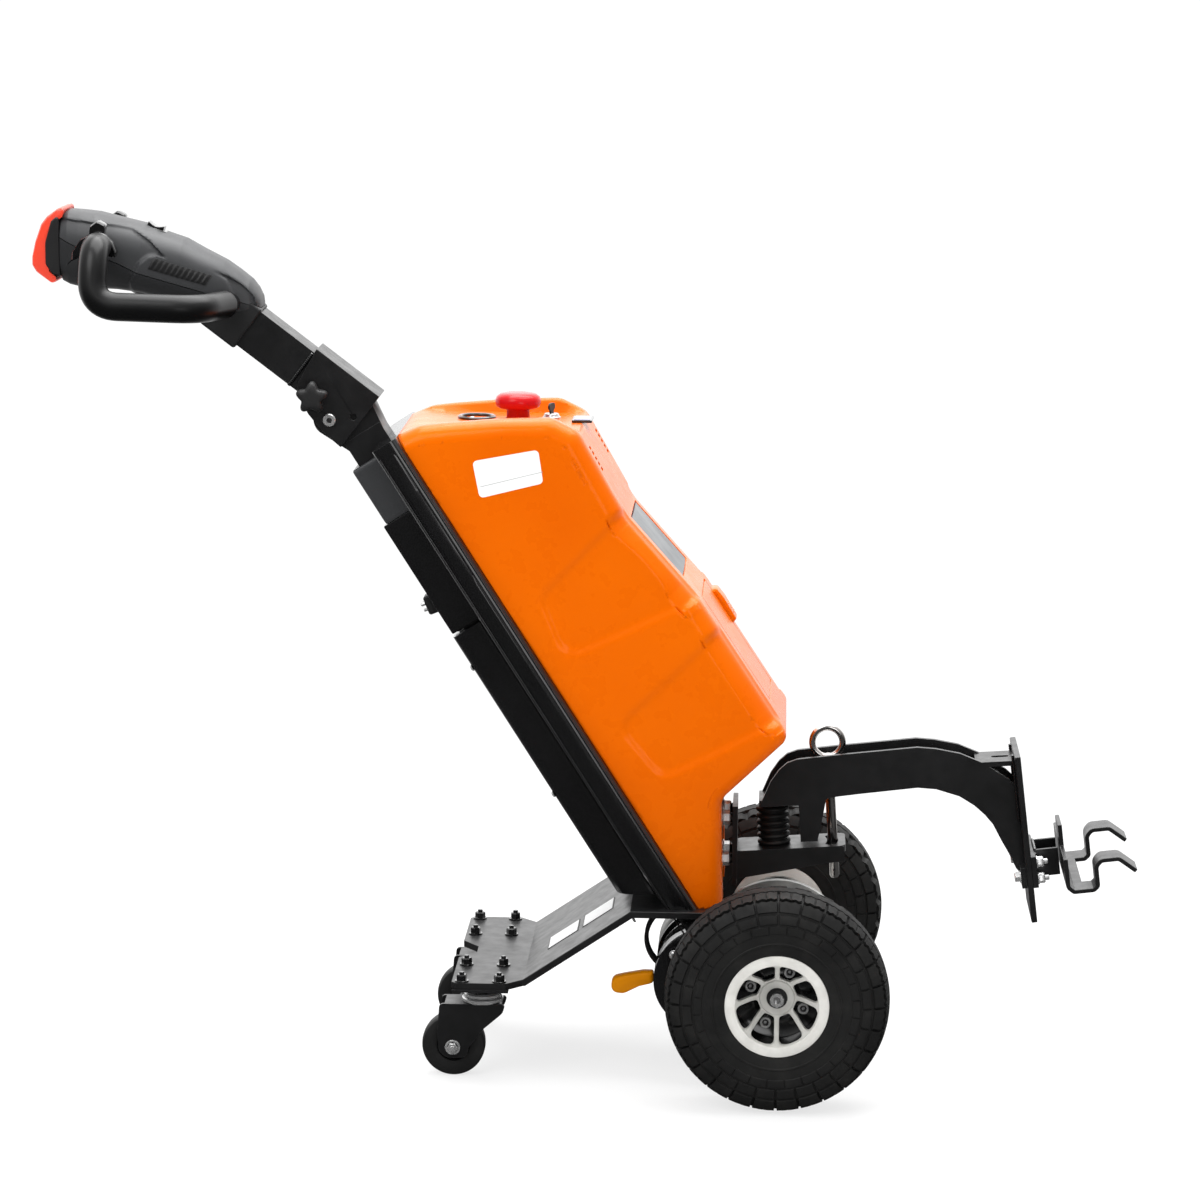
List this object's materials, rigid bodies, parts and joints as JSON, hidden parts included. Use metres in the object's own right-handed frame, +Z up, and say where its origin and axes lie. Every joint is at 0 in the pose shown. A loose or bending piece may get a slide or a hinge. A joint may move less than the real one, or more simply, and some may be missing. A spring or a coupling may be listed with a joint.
{
  "type": "electric tugger",
  "caption": "Walk-behind electric tugger: orange hood on a bent base plate, drive wheels, swivel casters, folding tiller with loop grips, and a swinging tow arm with a two-prong hook.",
  "frame": {"origin": "on the floor, under the middle of the machine's length and width", "axes": "+X forward to the tow hook, +Y to the machine's left, +Z up"},
  "size_m": [1.3106, 0.522, 1.0098],
  "materials": {
    "orange_shell": "glossy orange moulding",
    "smoked_window": "smoked grey panel",
    "black_gloss": "glossy black moulding",
    "black_paint": "satin black powder coat",
    "grey_sleeve": "grey satin paint",
    "battery_case": "matt dark grey moulding",
    "tyre_rubber": "matt black tread rubber",
    "rim_metal": "polished cast alloy",
    "bright_steel": "bright zinc plate",
    "cast_alloy": "bead-blasted cast alloy",
    "motor_black": "black enamel",
    "lever_yellow": "yellow dip coating",
    "cable_black": "black cable sheath",
    "bellows_black": "ribbed black rubber",
    "caster_tread": "black caster tread",
    "stop_red": "glossy red mushroom",
    "key_metal": "plated key and barrel",
    "display_dark": "dark display glass",
    "plug_black": "black plug moulding",
    "head_upper_grey": "fine-textured grey moulding",
    "head_lower_grey": "fine-textured dark grey moulding",
    "collar_black": "glossy black collar",
    "bumper_red": "satin red-orange bumper",
    "grip_rubber": "soft dark grey grip",
    "control_black": "glossy black control",
    "knob_black": "black phenolic knob"
  },
  "bodies": {
    "frame": {"base_plate": "black_paint", "caster_plates": "black_paint", "mast": "black_paint", "mast_sleeve": "grey_sleeve", "mast_cover": "black_gloss", "back_cover": "black_gloss", "rear_tray": "black_gloss", "hood": "orange_shell", "hood_window": "smoked_window", "hood_latch": "orange_shell", "battery": "battery_case", "front_upright": "black_paint", "drawbar": "black_paint", "kingpin": "bright_steel", "transaxle_housing": "cast_alloy", "axle_tubes": "cast_alloy", "motor": "motor_black", "brake_unit": "motor_black", "brake_release_lever": "lever_yellow", "motor_cables": "cable_black", "emergency_stop": "stop_red", "key_switch": "key_metal", "battery_display": "display_dark", "charge_socket": "black_gloss", "charger_plug": "plug_black"},
    "left_drive_wheel": {"left_tyre": "tyre_rubber", "left_rim": "rim_metal", "left_half_shaft": "bright_steel"},
    "right_drive_wheel": {"right_tyre": "tyre_rubber", "right_rim": "rim_metal", "right_half_shaft": "bright_steel"},
    "left_caster": {"left_caster_fork": "black_paint"},
    "left_caster_roller": {"left_caster_wheel": "caster_tread"},
    "right_caster": {"right_caster_fork": "black_paint"},
    "right_caster_roller": {"right_caster_wheel": "caster_tread"},
    "tiller": {"tiller_tube": "black_paint", "fold_bracket": "black_paint", "fold_bolt": "bright_steel", "star_knob": "knob_black", "tiller_collar": "collar_black", "head_upper_shell": "head_upper_grey", "head_lower_shell": "head_lower_grey", "head_bumper": "bumper_red", "left_grip": "grip_rubber", "right_grip": "grip_rubber", "left_throttle": "control_black", "right_throttle": "control_black", "rocker_switch": "control_black"},
    "tow_arm": {"tow_arm": "black_paint", "swivel_barrel": "bellows_black", "hitch_plate": "black_paint", "hook_bracket": "black_paint", "fork_hook": "black_paint"},
    "hitch_pin": {"hitch_pin": "bright_steel"}
  },
  "joints": [
    {"name": "left_wheel_spin", "type": "hinge", "parent": "frame", "child": "left_drive_wheel", "pos_m": [0.2366, 0.215, 0.13], "axis": [0, 1, 0], "continuous": true},
    {"name": "right_wheel_spin", "type": "hinge", "parent": "frame", "child": "right_drive_wheel", "pos_m": [0.2366, -0.215, 0.13], "axis": [0, 1, 0], "continuous": true},
    {"name": "left_caster_swivel", "type": "hinge", "parent": "frame", "child": "left_caster", "pos_m": [-0.1114, 0.1075, 0.09], "axis": [0, 0, 1], "continuous": true},
    {"name": "left_caster_roll", "type": "hinge", "parent": "left_caster", "child": "left_caster_roller", "pos_m": [-0.1454, 0.1075, 0.0375], "axis": [0, 1, 0], "continuous": true},
    {"name": "right_caster_swivel", "type": "hinge", "parent": "frame", "child": "right_caster", "pos_m": [-0.1114, -0.1075, 0.09], "axis": [0, 0, 1], "continuous": true},
    {"name": "right_caster_roll", "type": "hinge", "parent": "right_caster", "child": "right_caster_roller", "pos_m": [-0.1454, -0.1075, 0.0375], "axis": [0, 1, 0], "continuous": true},
    {"name": "tiller_fold", "type": "hinge", "parent": "frame", "child": "tiller", "pos_m": [-0.29944, 0, 0.76982], "axis": [0, -1, 0], "range_deg": [0, 115]},
    {"name": "arm_swing", "type": "hinge", "parent": "frame", "child": "tow_arm", "pos_m": [0.2306, 0, 0.262], "axis": [-0.0698, 0, 0.9976], "range_deg": [-15, 15]},
    {"name": "hitch_pin_lift", "type": "slide", "parent": "tow_arm", "child": "hitch_pin", "axis": [-0.0698, 0, 0.9976], "range_m": [0, 0.14]}
  ]
}
